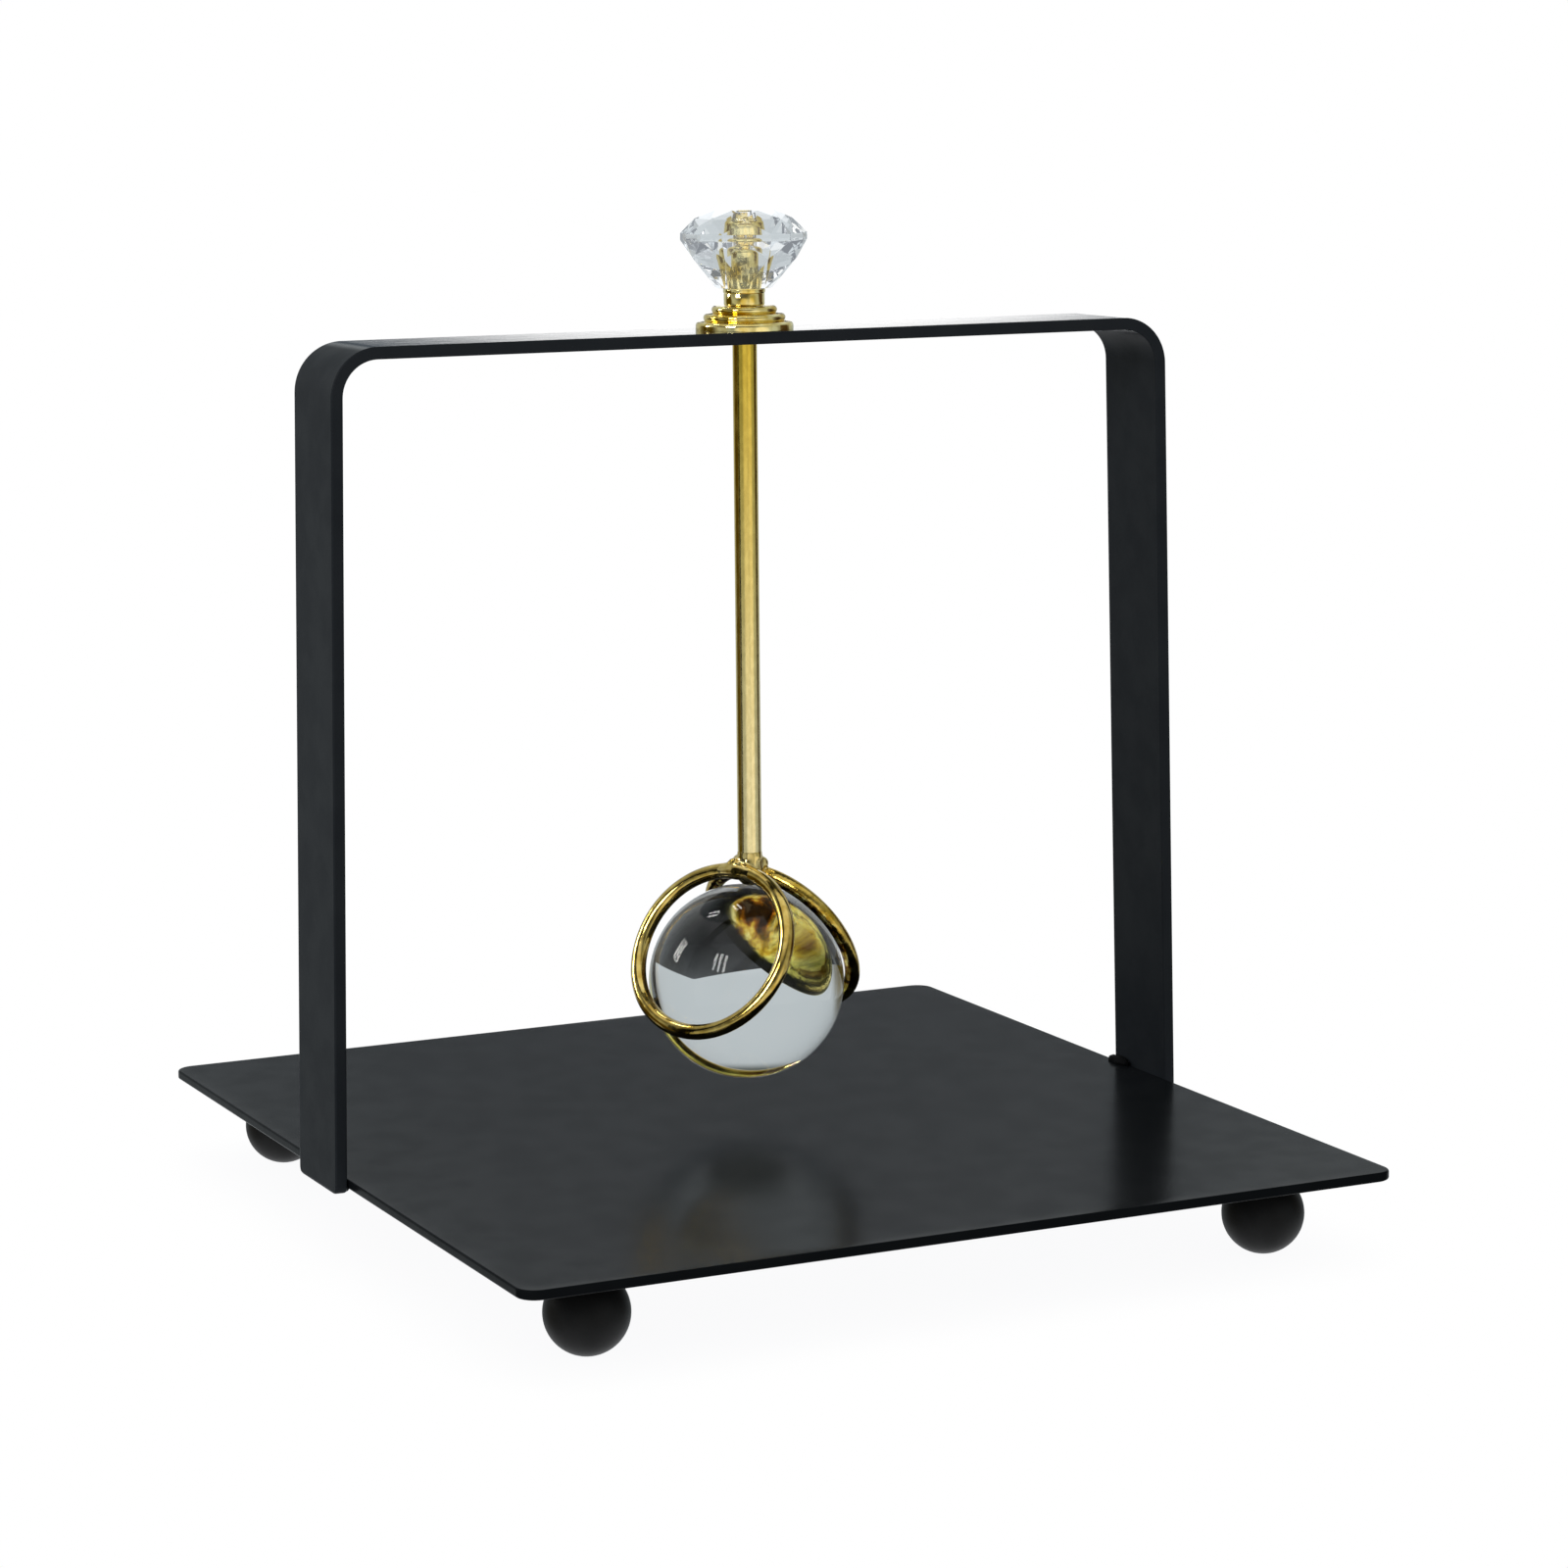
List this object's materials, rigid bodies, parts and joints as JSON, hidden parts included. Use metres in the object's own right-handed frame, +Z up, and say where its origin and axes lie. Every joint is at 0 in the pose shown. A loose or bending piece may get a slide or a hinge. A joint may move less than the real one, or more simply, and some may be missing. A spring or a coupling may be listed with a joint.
{
  "type": "weighted napkin holder",
  "caption": "Napkin holder: flat base on ball feet, flat-bar arch, and a lifting rod with a faceted crystal knob above and a crystal ball in wire rings below that weighs the napkins down.",
  "frame": {"origin": "on the surface the feet stand on, under the middle of the base, on the axis of the lifting rod", "axes": "+Z up along the rod; X across the arch from leg to leg; +Y from front to back, through the arch"},
  "size_m": [0.1936, 0.202, 0.2083],
  "materials": {
    "plate_coat": "semi-matte charcoal-black powder coat on steel",
    "arch_coat": "semi-matte charcoal-black powder coat on steel",
    "foot_coat": "satin black paint on steel balls",
    "rod_gold": "gold-coloured plating with a slightly mottled satin sheen",
    "knob_gold": "polished gold-coloured plating",
    "ring_gold": "polished gold-coloured plating, a little darker in the brazed joint",
    "knob_glass": "clear cut crystal",
    "ball_glass": "clear polished crystal"
  },
  "bodies": {
    "frame": {"base_plate": "plate_coat", "arch_bar": "arch_coat", "left_leg_weld": "arch_coat", "right_leg_weld": "arch_coat", "left_leg_tack": "arch_coat", "right_leg_tack": "arch_coat", "foot_front_left": "foot_coat", "foot_front_right": "foot_coat", "foot_rear_left": "foot_coat", "foot_rear_right": "foot_coat", "foot_weld_front_left": "foot_coat", "foot_weld_front_right": "foot_coat", "foot_weld_rear_left": "foot_coat", "foot_weld_rear_right": "foot_coat"},
    "lift": {"knob_flange": "knob_gold"},
    "weight": {"lift_rod": "rod_gold", "knob_ferrule": "knob_gold", "knob_stud": "knob_gold", "knob_crystal": "knob_glass", "ring_front": "ring_gold", "ring_rear": "ring_gold", "ring_braze_joint": "ring_gold", "crystal_ball": "ball_glass"}
  },
  "joints": [
    {"name": "weight_lift", "type": "slide", "parent": "frame", "child": "lift", "axis": [0, 0, 1], "range_m": [0, 0.105]},
    {"name": "weight_turn", "type": "hinge", "parent": "lift", "child": "weight", "pos_m": [0, 0, 0.184], "axis": [0, 0, 1], "continuous": true}
  ]
}
